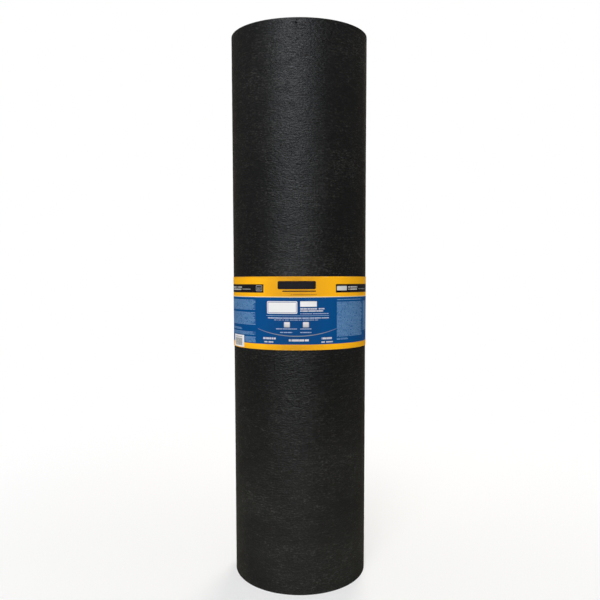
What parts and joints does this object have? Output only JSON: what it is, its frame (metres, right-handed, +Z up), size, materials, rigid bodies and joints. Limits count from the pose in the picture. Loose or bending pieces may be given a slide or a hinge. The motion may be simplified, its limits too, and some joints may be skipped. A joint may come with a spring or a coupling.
{
  "type": "roofing felt roll",
  "caption": "Upright roll of black roofing felt with an open bore, its turns showing on both ends, and a printed paper band round its middle.",
  "frame": {"origin": "centre of the bore's lower mouth, in the plane of the end that the roll stands on", "axes": "+Z up along the bore, towards the upper end; -Y towards the viewer of the picture; the sheet's free edge and the band's glued overlap are at the back"},
  "size_m": [0.2287, 0.2275, 0.9144],
  "materials": {
    "felt": "matt, asphalt-saturated felt",
    "label_paper": "satin printed paper, yellow and blue"
  },
  "bodies": {
    "root": {"felt_roll": "felt", "label_band": "label_paper"}
  },
  "joints": []
}
